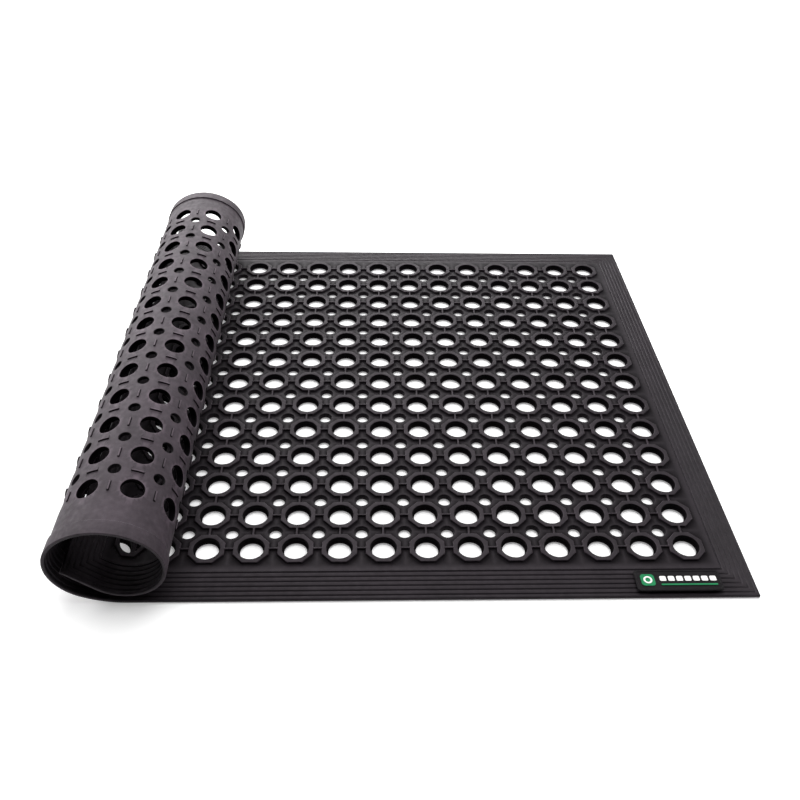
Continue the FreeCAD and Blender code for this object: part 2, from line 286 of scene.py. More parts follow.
@dataclass
class TilePattern:
    """One pitch of the moulding round a large hole, in millimetres.

    An eighth of the tile is drawn, 0 <= y <= x, and mirrored. Heights are above the floor.
    """

    pitch: float = 61.5
    hole_wall: tuple[tuple[float, float], ...] = (
        (16.9, 2.0), (16.25, 2.15), (16.0, 2.7), (16.0, 4.1), (16.35, 4.5), (17.7, 4.75),
        (18.05, 5.2), (18.7, 11.7), (18.95, 12.4), (19.6, 12.7))
    drain_wall: tuple[tuple[float, float], ...] = (
        (9.5, 2.0), (8.85, 2.2), (8.6, 2.8), (10.6, 8.9), (10.95, 9.4), (11.7, 9.6))
    collar_flat: float = 24.6
    rib_half: float = 1.2
    collar_edge: tuple[tuple[float, float], ...] = (
        (-0.7, 12.7), (-0.28, 12.58), (-0.02, 12.2), (0.26, 10.2), (0.5, 9.75), (1.0, 9.6))
    foot_half: tuple[float, float] = (1.0, 8.0)
    foot_edge: tuple[tuple[float, float], ...] = (
        (-0.5, 0.0), (-0.16, 0.1), (0.0, 0.45), (0.12, 1.6), (0.5, 2.0), (1.1, 2.0))
    edge_steps: tuple[float, ...] = (0.0, 5.0, 9.5, 14.5)

    @property
    def half(self) -> float:
        """Half the pitch."""
        return self.pitch / 2

    def edge_places(self) -> list[float]:
        """Places along half a tile's plain edge where its mesh has points."""
        drain_edge = self.half - self.drain_wall[-1][0]
        rest = [drain_edge + (self.half - drain_edge) * n / 4 for n in range(5)]
        return [*self.edge_steps, *rest]

    @staticmethod
    def arc(centre: tuple[float, float], radius: float, start: float, stop: float,
            height: float, count: int) -> list[Point]:
        """Points on an arc.

        Args:
            centre: the arc's centre.
            radius: its radius.
            start: angle of the first point, in degrees.
            stop: angle of the last point, in degrees.
            height: height of every point.
            count: number of segments.
        Returns:
            The points, from start to stop.
        """
        angles = [math.radians(start + (stop - start) * n / count) for n in range(count + 1)]
        return [(centre[0] + radius * math.cos(a), centre[1] + radius * math.sin(a), height)
                for a in angles]

    def octagon(self, offset: float, height: float, rib_offset: float) -> list[Point]:
        """Collar outline from the rib's side to the diagonal, eight segments.

        Args:
            offset: distance outwards from the collar's outline.
            height: height of the points.
            rib_offset: where the outline leaves the rib, from the rib's middle.
        Returns:
            Nine points.
        """
        flat = self.collar_flat + offset
        corner = flat * math.tan(math.pi / 8)
        side = [(flat, rib_offset + (corner - rib_offset) * n / 4, height) for n in range(5)]
        diagonal = flat / math.sqrt(2)
        chamfer = [(flat + (diagonal - flat) * n / 4, corner + (diagonal - corner) * n / 4,
                    height) for n in range(1, 5)]
        return side + chamfer

    def far_side(self, kind: Corner, start: float, height: float, reach: float,
                 ) -> list[Point]:
        """Tile edge and corner opposite the collar, eight segments.

        Args:
            kind: what the eighth meets.
            start: place along the edge of the first point.
            height: height of the points.
            reach: radius of the drain hole's rim, at the tile's corner.
        Returns:
            Nine points.
        """
        half = self.half
        if kind is Corner.ON_BORDER:
            return [(half, y, height) for y in self.edge_places()]
        low = half - reach
        side = [(half, start + (low - start) * n / 4, height) for n in range(5)]
        if kind is Corner.BESIDE_BORDER:
            return side + [(half, low + (half - low) * n / 4, height) for n in range(1, 5)]
        return side + self.arc((half, half), reach, 270, 225, height, 4)[1:]

    def eighth(self, kind: Corner) -> list[list[list[Point]]]:
        """Surface of one eighth of the tile.

        Args:
            kind: what the eighth meets at its edge and its corner.
        Returns:
            Strips, each a list of neighbouring rows of points.
        """
        half = self.half
        wall = [self.arc((0, 0), radius, 0, 45, height, 8) for radius, height in self.hole_wall]
        strips = [wall]
        ribbed = kind is not Corner.ON_BORDER
        inner_offset, top = self.collar_edge[0]
        outer_offset, web = self.collar_edge[-1]
        rib_in = self.rib_half + inner_offset if ribbed else 0.0
        crown = self.octagon(inner_offset, top, rib_in)
        if ribbed:
            first = wall[-1][0]
            strips.append([[first, first, wall[-1][1]], [(crown[0][0], 0, top), crown[0],
                                                        crown[1]]])
            strips.append([wall[-1][1:], crown[1:]])
            strips.append([[(crown[0][0], 0, top), crown[0]], [(half, 0, top),
                                                               (half, rib_in, top)]])
        else:
            strips.append([wall[-1], crown])
        rows = []
        for offset, height in self.collar_edge:
            rib_side = self.rib_half + offset if ribbed else 0.0
            row = self.octagon(offset, height, rib_side)
            if ribbed:
                row = [(half, rib_side, height), *row]
            rows.append(row)
        strips.append(rows)
        foot = self.octagon(outer_offset, web, self.rib_half + outer_offset if ribbed else 0.0)
        strips.append([foot, self.far_side(kind, foot[0][1], web, self.drain_wall[-1][0])])
        if kind is Corner.INNER:
            strips.append([self.arc((half, half), radius, 270, 225, height, 4)
                           for radius, height in self.drain_wall])
        strips += self.underside(kind, wall[0])
        return strips

    def underside(self, kind: Corner, ring: list[Point]) -> list[list[list[Point]]]:
        """Floor side of one eighth of the tile.

        Args:
            kind: what the eighth meets at its edge and its corner.
            ring: the large hole's edge on that side.
        Returns:
            Strips, each a list of neighbouring rows of points.
        """
        half = self.half
        floor_side = ring[0][2]
        if kind is Corner.ON_BORDER:
            return [[ring, [(half, y, floor_side) for y in self.edge_places()]]]
        wide, long = self.foot_half

        def outline(offset: float, height: float) -> list[Point]:
            x, y = half - wide - offset, long + offset
            return [(x, 0, height), (x, y / 2, height), (x, y, height), (half, y, height)]

        rows = [outline(offset, height) for offset, height in self.foot_edge]
        foot = rows[-1]
        reach = self.drain_wall[0][0]
        low = half - reach
        if kind is Corner.INNER:
            corner = self.arc((half, half), reach, 270, 225, floor_side, 4)
        else:
            corner = [(half, low + (half - low) * n / 4, floor_side) for n in range(5)]
        sole = rows[0]
        flat = [[sole[0], sole[1], sole[2]],
                [(half, 0, sole[0][2]), (half, sole[1][1], sole[0][2]), sole[3]]]
        return [rows, [ring, [*foot, *corner]], flat]

    def tile(self, name: str, sides: dict[str, bool], cut_step: float = 0.0) -> bpy.types.Object:
        """Whole tile as a mesh object at the origin, in millimetres.

        Args:
            name: the object's name.
            sides: for "-x", "+x", "-y" and "+y", whether that side meets a border.
            cut_step: spacing of extra cuts across the run of the sheet, or 0 for none.
        Returns:
            The object, not yet in the scene.
        """
        build = bmesh.new()
        for across in (False, True):
            for sx in (1, -1):
                for sy in (1, -1):
                    along = ("+y" if sy > 0 else "-y") if across else ("+x" if sx > 0 else "-x")
                    beside = ("+x" if sx > 0 else "-x") if across else ("+y" if sy > 0 else "-y")
                    kind = Corner.INNER
                    if sides[along]:
                        kind = Corner.ON_BORDER
                    elif sides[beside]:
                        kind = Corner.BESIDE_BORDER
                    for strip in self.eighth(kind):
                        self.add_strip(build, strip, across, sx, sy)
        bmesh.ops.remove_doubles(build, verts=build.verts, dist=WELD)
        bmesh.ops.dissolve_degenerate(build, edges=build.edges, dist=WELD / 10)
        bmesh.ops.recalc_face_normals(build, faces=build.faces)
        count = round(self.pitch / cut_step) if cut_step else 0
        for n in range(1, count):
            geometry = build.verts[:] + build.edges[:] + build.faces[:]
            bmesh.ops.bisect_plane(build, geom=geometry, dist=WELD / 4,
                                   plane_co=(n * cut_step - self.half, 0, 0),
                                   plane_no=(1, 0, 0))
        mesh = bpy.data.meshes.new(name)
        build.to_mesh(mesh)
        build.free()
        return bpy.data.objects.new(name, mesh)

    @staticmethod
    def add_strip(build: bmesh.types.BMesh, rows: list[list[Point]], across: bool,
                  sx: int, sy: int) -> None:
        """Adds the faces between neighbouring rows, mirrored into one eighth of the tile.

        Args:
            build: mesh to add to.
            rows: neighbouring rows of points, all of one length.
            across: whether x and y change places.
            sx: 1 or -1, the side in x.
            sy: 1 or -1, the side in y.
        """
        placed = []
        for row in rows:
            points = [(y, x, h) if across else (x, y, h) for x, y, h in row]
            placed.append([build.verts.new((sx * x, sy * y, h)) for x, y, h in points])
        for near, far in zip(placed, placed[1:]):
            for n in range(len(near) - 1):
                build.faces.new((near[n], near[n + 1], far[n + 1], far[n]))


@dataclass
class BorderProfile:
    """Section of the border: a ramp with tread grooves, and a lip underneath; millimetres.

    Points are (inset from the edge, height above the floor).
    """

    width: float = 81.0
    edge_height: float = 4.8
    web_height: float = 9.6
    under_height: float = 2.0
    ramp_width: float = 43.0
    lip_width: float = 22.0
    groove_first: float = 41.0
    groove_step: float = 7.1
    groove_count: int = 6
    groove_half: float = 1.25
    groove_depth: float = 1.3
    groove_shape: tuple[tuple[float, float], ...] = (     # shares of half width and of depth
        (1.45, 0.0), (1.0, 0.16), (0.3, 0.88), (-0.3, 0.88), (-1.0, 0.16), (-1.45, 0.0))

    def height(self, inset: float) -> float:
        """Height of the plain ramp.

        Args:
            inset: distance in from the mat's edge.
        Returns:
            Height above the floor.
        """
        share = min(1.0, inset / self.ramp_width)
        return self.edge_height + (self.web_height - self.edge_height) * share

    def points(self, inner: float) -> list[tuple[float, float]]:
        """Outline from the field's top edge, round the border's edge, to the field's underside.

        Args:
            inner: inset of the field's edge.
        Returns:
            Points of (inset, height).
        """
        line = [(inner, self.web_height), (self.ramp_width + 1.5, self.web_height),
                (self.ramp_width - 0.5, self.height(self.ramp_width - 0.5) - 0.03)]
        for n in range(self.groove_count):
            middle = self.groove_first - n * self.groove_step
            for side, drop in self.groove_shape:
                inset = middle + side * self.groove_half
                line.append((inset, self.height(inset) - drop * self.groove_depth))
        low = self.edge_height
        line += [(1.6, self.height(1.6)), (0.5, low - 0.15), (0.0, low - 0.9), (0.0, 0.6),
                 (0.5, 0.0), (self.lip_width - 0.6, 0.0), (self.lip_width - 0.1, 0.35),
                 (self.lip_width + 0.05, 1.6), (self.lip_width + 0.5, self.under_height),
                 (inner, self.under_height)]
        return line


@dataclass
class RollPath:
    """Line of the sheet from the flat part to the roll's inner end, in millimetres.

    Each pitch of the roll bends evenly. Its length holds at the neutral height.
    """

    pitch: float
    flat_columns: int = 13
    turns: tuple[float, ...] = (26.0, 57.0, 55.0, 42.0, 41.5, 59.5, 60.0, 61.0)
    neutral: float = 1.2

    def start(self) -> float:
        """Run of the sheet at which it begins to bend."""
        return (self.flat_columns - 0.5) * self.pitch

    def place(self, run: np.ndarray, height: np.ndarray) -> tuple[np.ndarray, np.ndarray]:
        """Bends points of the flat sheet.

        Args:
            run: distance along the sheet, towards the roll.
            height: height above the floor side.
        Returns:
            The points' x and z, x counted from the first column of holes.
        """
        x = -run.astype(float)
        z = height.astype(float)
        at_x, at_z, heading, begun = -self.start(), self.neutral, math.pi, self.start()
        for turn in self.turns:
            bend = math.radians(turn)
            radius = self.pitch / bend
            cx = at_x + radius * math.sin(heading)
            cz = at_z - radius * math.cos(heading)
            here = (run > begun) & (run <= begun + self.pitch)
            angle = heading - (run[here] - begun) / radius
            depth = radius + self.neutral - height[here]
            x[here] = cx - depth * np.sin(angle)
            z[here] = cz + depth * np.cos(angle)
            heading -= bend
            begun += self.pitch
            at_x = cx - radius * math.sin(heading)
            at_z = cz + radius * math.cos(heading)
        rest = run > begun
        along, above = run[rest] - begun, height[rest] - self.neutral
        x[rest] = at_x + along * math.cos(heading) + above * math.sin(heading)
        z[rest] = at_z + along * math.sin(heading) - above * math.cos(heading)
        return x, z


@dataclass
class Sheet:
    """The rubber moulding: its field of tiles, its border and the cut into moving pieces."""

    pattern: TilePattern = field(default_factory=TilePattern)
    border: BorderProfile = field(default_factory=BorderProfile)
    columns: int = 21
    rows: int = 13
    flat_cuts: tuple[float, ...] = (2.5, 6.5, 9.5)   # in pitches, to keep the pieces small
    cuts_per_pitch: int = 12                         # finer mesh where the sheet bends
    finish: RubberFinish = field(default_factory=RubberFinish)

    def __post_init__(self) -> None:
        self.path = RollPath(self.pattern.pitch)
        low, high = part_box("flat_panel")
        self.first_column_x = high.x / MM - self.border.width
        self.middle_y = (low.y + high.y) / 2 / MM
        self.material = self.finish.build()

    def spread_tiles(self, tile: bpy.types.Object, columns: range, rows: range,
                     ) -> bpy.types.Mesh:
        """Repeats a tile over columns and rows with Geometry Nodes.

        Args:
            tile: the tile's object.
            columns: columns of the mat that it fills.
            rows: rows of the mat that it fills.
        Returns:
            The realised mesh, in the flat sheet's millimetres.
        """
        pitch = self.pattern.pitch
        tree = bpy.data.node_groups.new("tiles_over_the_field", "GeometryNodeTree")
        names = {"Tile": "NodeSocketObject", "Columns": "NodeSocketInt", "Rows": "NodeSocketInt",
                 "Pitch": "NodeSocketFloat", "Corner": "NodeSocketVector",
                 "Material": "NodeSocketMaterial"}
        sockets = {name: tree.interface.new_socket(name, in_out="INPUT", socket_type=kind)
                   for name, kind in names.items()}
        tree.interface.new_socket("Geometry", in_out="OUTPUT", socket_type="NodeSocketGeometry")
        given = add_node(tree, "NodeGroupInput").outputs
        step_x = add_node(tree, "ShaderNodeCombineXYZ", {}, {"X": given["Pitch"]})
        step_y = add_node(tree, "ShaderNodeCombineXYZ", {}, {"Y": given["Pitch"]})
        first_row = add_node(tree, "GeometryNodeMeshLine", {"mode": "OFFSET"},
                             {"Count": given["Columns"], "Start Location": given["Corner"],
                              "Offset": step_x.outputs[0]})
        column = add_node(tree, "GeometryNodeMeshLine", {"mode": "OFFSET"},
                          {"Count": given["Rows"], "Offset": step_y.outputs[0]})
        lattice = add_node(tree, "GeometryNodeInstanceOnPoints", {},
                           {"Points": first_row.outputs[0], "Instance": column.outputs[0]})
        points = add_node(tree, "GeometryNodeRealizeInstances", {}, {0: lattice.outputs[0]})
        shape = add_node(tree, "GeometryNodeObjectInfo", {}, {"Object": given["Tile"]})
        spread = add_node(tree, "GeometryNodeInstanceOnPoints", {},
                          {"Points": points.outputs[0], "Instance": shape.outputs["Geometry"]})
        merged = add_node(tree, "GeometryNodeRealizeInstances", {}, {0: spread.outputs[0]})
        dressed = add_node(tree, "GeometryNodeSetMaterial", {},
                           {"Geometry": merged.outputs[0], "Material": given["Material"]})
        add_node(tree, "NodeGroupOutput", {}, {0: dressed.outputs[0]})
        holder = bpy.data.objects.new("tile_field", bpy.data.meshes.new("tile_field"))
        bpy.context.scene.collection.objects.link(holder)
        modifier = holder.modifiers.new("tiles", "NODES")
        modifier.node_group = tree
        corner = (columns.start * pitch, (rows.start - (self.rows - 1) / 2) * pitch, 0.0)
        values = {"Tile": tile, "Columns": len(columns), "Rows": len(rows),
                  "Pitch": pitch, "Corner": corner, "Material": self.material}
        for name, value in values.items():
            modifier[sockets[name].identifier] = value
        evaluated = holder.evaluated_get(bpy.context.evaluated_depsgraph_get())
        mesh = bpy.data.meshes.new_from_object(evaluated)
        bpy.data.objects.remove(holder)
        bpy.data.node_groups.remove(tree)
        return mesh

    def field_meshes(self) -> list[bpy.types.Mesh]:
        """Every tile of the mat: inner ones, those on an edge and those at a corner."""
        meshes = []
        spans = [("right", range(0, 1), False), ("flat", range(1, self.path.flat_columns), False),
                 ("bent", range(self.path.flat_columns, self.columns - 1), True),
                 ("inner", range(self.columns - 1, self.columns), True)]
        bands = [("front", range(0, 1)), ("middle", range(1, self.rows - 1)),
                 ("back", range(self.rows - 1, self.rows))]
        for span, columns, bent in spans:
            for band, rows in bands:
                sides = {"-x": span == "right", "+x": span == "inner",
                         "-y": band == "front", "+y": band == "back"}
                step = self.pattern.pitch / self.cuts_per_pitch if bent else 0.0
                tile = self.pattern.tile(f"tile_{span}_{band}", sides, step)
                meshes.append(self.spread_tiles(tile, columns, rows))
                bpy.data.objects.remove(tile)
        return meshes

    def run_places(self) -> list[float]:
        """Places along the sheet where the field's mesh has points on its front edge."""
        pitch = self.pattern.pitch
        offsets = self.pattern.edge_places()
        places = set()
        for column in range(self.columns):
            near = [side * offset for side in (-1, 1) for offset in offsets]
            if column >= self.path.flat_columns:
                step = pitch / self.cuts_per_pitch
                near += [n * step - pitch / 2 for n in range(self.cuts_per_pitch + 1)]
            places.update(round(column * pitch + offset, 4) for offset in near)
        return self.thinned(sorted(places))

    def row_places(self) -> list[float]:
        """Places across the sheet where the field's mesh has points on its end edges."""
        places = set()
        for row in range(self.rows):
            middle = (row - (self.rows - 1) / 2) * self.pattern.pitch
            places.update(round(middle + side * offset, 4) for side in (-1, 1)
                          for offset in self.pattern.edge_places())
        return self.thinned(sorted(places))

    @staticmethod
    def thinned(places: list[float]) -> list[float]:
        """Leaves out places that fall on the one before.

        Args:
            places: distances in rising order.
        Returns:
            The places that are kept.
        """
        kept = places[:1]
        for place in places[1:]:
            if place - kept[-1] > WELD:
                kept.append(place)
        return kept

    def border_mesh(self) -> bmesh.types.BMesh:
        """Border all round the mat, swept in one closed loop with mitred corners."""
        pitch = self.pattern.pitch
        side = (self.rows - 1) * pitch / 2 + self.border.width
        near, far = -self.border.width, (self.columns - 1) * pitch + self.border.width
        inner = self.border.width - pitch / 2
        runs, rows = self.run_places(), self.row_places()
        stations = [lambda i, s=s: (s, i - side) for s in runs]
        stations.append(lambda i: (far - i, i - side))
        stations += [lambda i, r=r: (far - i, r) for r in rows]
        stations.append(lambda i: (far - i, side - i))
        stations += [lambda i, s=s: (s, side - i) for s in reversed(runs)]
        stations.append(lambda i: (near + i, side - i))
        stations += [lambda i, r=r: (near + i, r) for r in reversed(rows)]
        stations.append(lambda i: (near + i, i - side))
        build = bmesh.new()
        outline = self.border.points(inner)
        rings = [[build.verts.new((*station(i), h)) for i, h in outline]
                 for station in stations]
        for ring, following in zip(rings, rings[1:] + rings[:1]):
            for n in range(len(outline) - 1):
                build.faces.new((ring[n], ring[n + 1], following[n + 1], following[n]))
        return build

    def whole(self) -> bpy.types.Mesh:
        """The flat sheet as one welded mesh, x along the run, in millimetres."""
        build = self.border_mesh()
        for mesh in self.field_meshes():
            build.from_mesh(mesh)
            bpy.data.meshes.remove(mesh)
        bmesh.ops.remove_doubles(build, verts=build.verts, dist=WELD)
        bmesh.ops.dissolve_degenerate(build, edges=build.edges, dist=WELD / 10)
        bmesh.ops.recalc_face_normals(build, faces=build.faces)
        loose = sum(1 for edge in build.edges if not edge.is_manifold)
        LOG.info("sheet: %d faces, %d open edges", len(build.faces), loose)
        mesh = bpy.data.meshes.new("sheet")
        build.to_mesh(mesh)
        build.free()
        return mesh

    def cut_places(self) -> list[float]:
        """Where the sheet is cut into pieces: in the flat part, then between the hinges."""
        pitch = self.pattern.pitch
        flat = [c * pitch for c in self.flat_cuts] + [self.path.start()]
        strips = 2 * len(self.path.turns)
        middles = [self.path.start() + (n + 0.5) * pitch / 2 for n in range(strips)]
        return flat + middles

    def build(self) -> None:
        """Builds, cuts, bends and dresses the whole sheet, and mounts its flat pieces on the flat
        panel.
        """
        mesh = self.whole()      # its run stands in x until the pieces are bent
        points = np.empty(len(mesh.vertices) * 3)
        mesh.vertices.foreach_get("co", points)
        points = points.reshape(-1, 3)
        corners = [tuple(face.vertices) for face in mesh.polygons]
        middles = np.array([points[list(c), 0].mean() for c in corners])
        cuts = self.cut_places()
        owner = np.searchsorted(np.array(cuts), middles)
        flat_pieces = len(self.flat_cuts) + 1
        bodies = [j["child"] for j in frame["joints"]]
        for number in range(len(cuts) + 1):
            faces = [corners[n] for n in np.nonzero(owner == number)[0]]
            if number < flat_pieces:
                name = f"mat_field_{number + 1}"
            elif number < len(cuts):
                name = f"mat_bend_{number - flat_pieces + 1:02d}"
            else:
                name = "mat_inner_end"
            piece = self.piece(name, points, faces, cuts)
            if number < flat_pieces:
                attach(piece, MAIN_BODY)
                if number == 0:
                    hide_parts("flat_panel")
            else:
                step = number - flat_pieces
                self.hinge(piece, cuts, number)
                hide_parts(bodies[step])
            LOG.info("%s: %d faces", name, len(piece.data.polygons))

    def hinge(self, piece: bpy.types.Object, cuts: list[float],
              number: int) -> None:
        """Bakes a piece's placement into its mesh; the ends of its hinge, between the middles of
        two neighbouring strips, are worked out but not used.

        Args:
            piece: the piece's object.
            cuts: where the sheet is cut.
            number: the piece's place along the sheet.
        """
        begin = cuts[number - 1]
        end = cuts[number] if number < len(cuts) else begin + self.pattern.pitch / 4
        ends = self.in_frame(np.array([[begin, 0, self.path.neutral],
                                       [end, 0, self.path.neutral]]))
        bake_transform(piece)

    def in_frame(self, points: np.ndarray) -> np.ndarray:
        """Bends points of the flat sheet into the frame.

        Args:
            points: rows of run, across and height, in millimetres.
        Returns:
            Rows of x, y and z in metres.
        """
        x, z = self.path.place(points[:, 0], points[:, 2])
        return np.column_stack([x + self.first_column_x, points[:, 1] + self.middle_y, z]) * MM

    def piece(self, name: str, points: np.ndarray, faces: list[tuple[int, ...]],
              cuts: list[float]) -> bpy.types.Object:
        """One closed piece of the sheet, bent into place.

        Args:
            name: the piece's name.
            points: all points of the flat sheet.
            faces: the piece's faces, as point numbers.
            cuts: where the sheet is cut.
        Returns:
            The piece, in the scene.
        """
        used = sorted({n for face in faces for n in face})
        renumbered = {old: new for new, old in enumerate(used)}
        mesh = bpy.data.meshes.new(name)
        mesh.from_pydata(points[used].tolist(), [],
                         [[renumbered[n] for n in face] for face in faces])
        build = bmesh.new()
        build.from_mesh(mesh)
        rim = [edge for edge in build.edges if edge.is_boundary]
        bmesh.ops.holes_fill(build, edges=rim, sides=0)
        bmesh.ops.triangulate(build, faces=[f for f in build.faces if len(f.verts) > 4])
        bmesh.ops.recalc_face_normals(build, faces=build.faces)
        build.to_mesh(mesh)
        build.free()
        flat = np.empty(len(mesh.vertices) * 3)
        mesh.vertices.foreach_get("co", flat)
        flat = flat.reshape(-1, 3)
        place = mesh.attributes.new(self.finish.place_attribute, "FLOAT_VECTOR", "POINT")
        place.data.foreach_set("vector", (flat * MM).astype(np.float32).ravel())
        # wear, painted sheen and painted shade as one value at each point
        wear_sheen_shade = mesh.attributes.new(self.finish.wear_sheen_shade_attribute, "FLOAT", "POINT")
        wear_sheen_shade.data.foreach_set("value", self.wear_sheen_shade(flat).astype(np.float32))
        mesh.vertices.foreach_set("co", self.in_frame(flat).astype(np.float32).ravel())
        mesh.shade_smooth()
        self.crease(mesh, flat, cuts)
        mesh.update()
        mesh.materials.append(self.material)
        piece = bpy.data.objects.new(name, mesh)
        bpy.context.scene.collection.objects.link(piece)
        normals = piece.modifiers.new("flats_stay_flat", "WEIGHTED_NORMAL")
        normals.keep_sharp = True
        normals.weight = 80
        return piece

    def wear_sheen_shade(self, flat: np.ndarray) -> np.ndarray:
        """Wear with painted light: from 0, painted shade in sheltered places, to 1, rubbed pale.

        Args:
            flat: points of the flat sheet, in millimetres.
        Returns:
            One value for each point.
        """
        pattern, height = self.pattern, flat[:, 2]
        pitch, last_row = pattern.pitch, self.rows - 1
        column = np.clip(np.round(flat[:, 0] / pitch), 0, self.columns - 1)
        row = np.clip(np.round(flat[:, 1] / pitch + last_row / 2), 0, last_row)
        from_x = np.abs(flat[:, 0] - column * pitch)
        from_y = np.abs(flat[:, 1] - (row - last_row / 2) * pitch)
        in_field = np.maximum(from_x, from_y) < pattern.half + 1
        radius = np.hypot(from_x, from_y)
        collar = np.maximum(np.maximum(from_x, from_y), (from_x + from_y) / math.sqrt(2))
        near_collar = collar < pattern.collar_flat + 1.1
        side, end = np.maximum(from_x, from_y), np.minimum(from_x, from_y)
        wide, long = pattern.foot_half
        amid = ((flat[:, 0] > -pattern.half + 3) & (np.abs(flat[:, 1]) < self.rows * pitch / 2 - 3)
                & (flat[:, 0] < self.columns * pitch - pattern.half - 3))
        near_rib = amid & (np.minimum(from_x, from_y) < pattern.rib_half + 1.1)
        at_foot = amid & (side > pattern.half - wide - 0.55) & (end < long + 0.55)
        under = height < 2.2
        web = in_field & ~under & (height < 10.0)

        wear_sheen_shade = np.full(len(flat), 0.45)
        # painted sheen: the whole underside is painted paler, standing in for the bright
        # reflection on the roll's outer face
        wear_sheen_shade[under] = 0.69
        # painted shade on the web between the collars, darkest where it meets a rib or a collar
        wear_sheen_shade[web] = 0.3
        wear_sheen_shade[web & (near_rib | near_collar)] = 0.05
        # painted shade along the sides and feet of the bars under the sheet, then rubbed soles
        # where they meet the floor
        wear_sheen_shade[under & at_foot & (height > 1.0)] = 0.0
        wear_sheen_shade[at_foot & (height < 0.3)] = 0.95
        # painted shade on the walls of the large holes, then rubbed rims round them underneath
        wear_sheen_shade[in_field & (radius < pattern.hole_wall[-3][0] + 0.1) & (height > 2.05)] = 0.03
        wear_sheen_shade[under & in_field & (radius < pattern.hole_wall[0][0] + 0.1)] = 0.95
        wear_sheen_shade[height > 12.0] = 0.52
        wear_sheen_shade[(height > 12.0) & (height < 12.65)] = 0.7
        return wear_sheen_shade

    def crease(self, mesh: bpy.types.Mesh, flat: np.ndarray, cuts: list[float]) -> None:
        """Marks edges on the cuts as sharp, so that the cut faces don't darken the surface.

        Args:
            mesh: the piece's mesh.
            flat: its points on the flat sheet, in millimetres.
            cuts: where the sheet is cut.
        """
        pairs = np.empty(len(mesh.edges) * 2, np.int32)
        mesh.edges.foreach_get("vertices", pairs)
        ends = flat[pairs.reshape(-1, 2), 0]
        sharp = np.zeros(len(mesh.edges), bool)
        for cut in cuts:
            sharp |= (np.abs(ends - cut) < WELD).all(axis=1)
        mark = mesh.attributes.get("sharp_edge") or mesh.attributes.new(
            "sharp_edge", "BOOLEAN", "EDGE")
        mark.data.foreach_set("value", sharp)


# ---------------------------------------------------------------- the badge

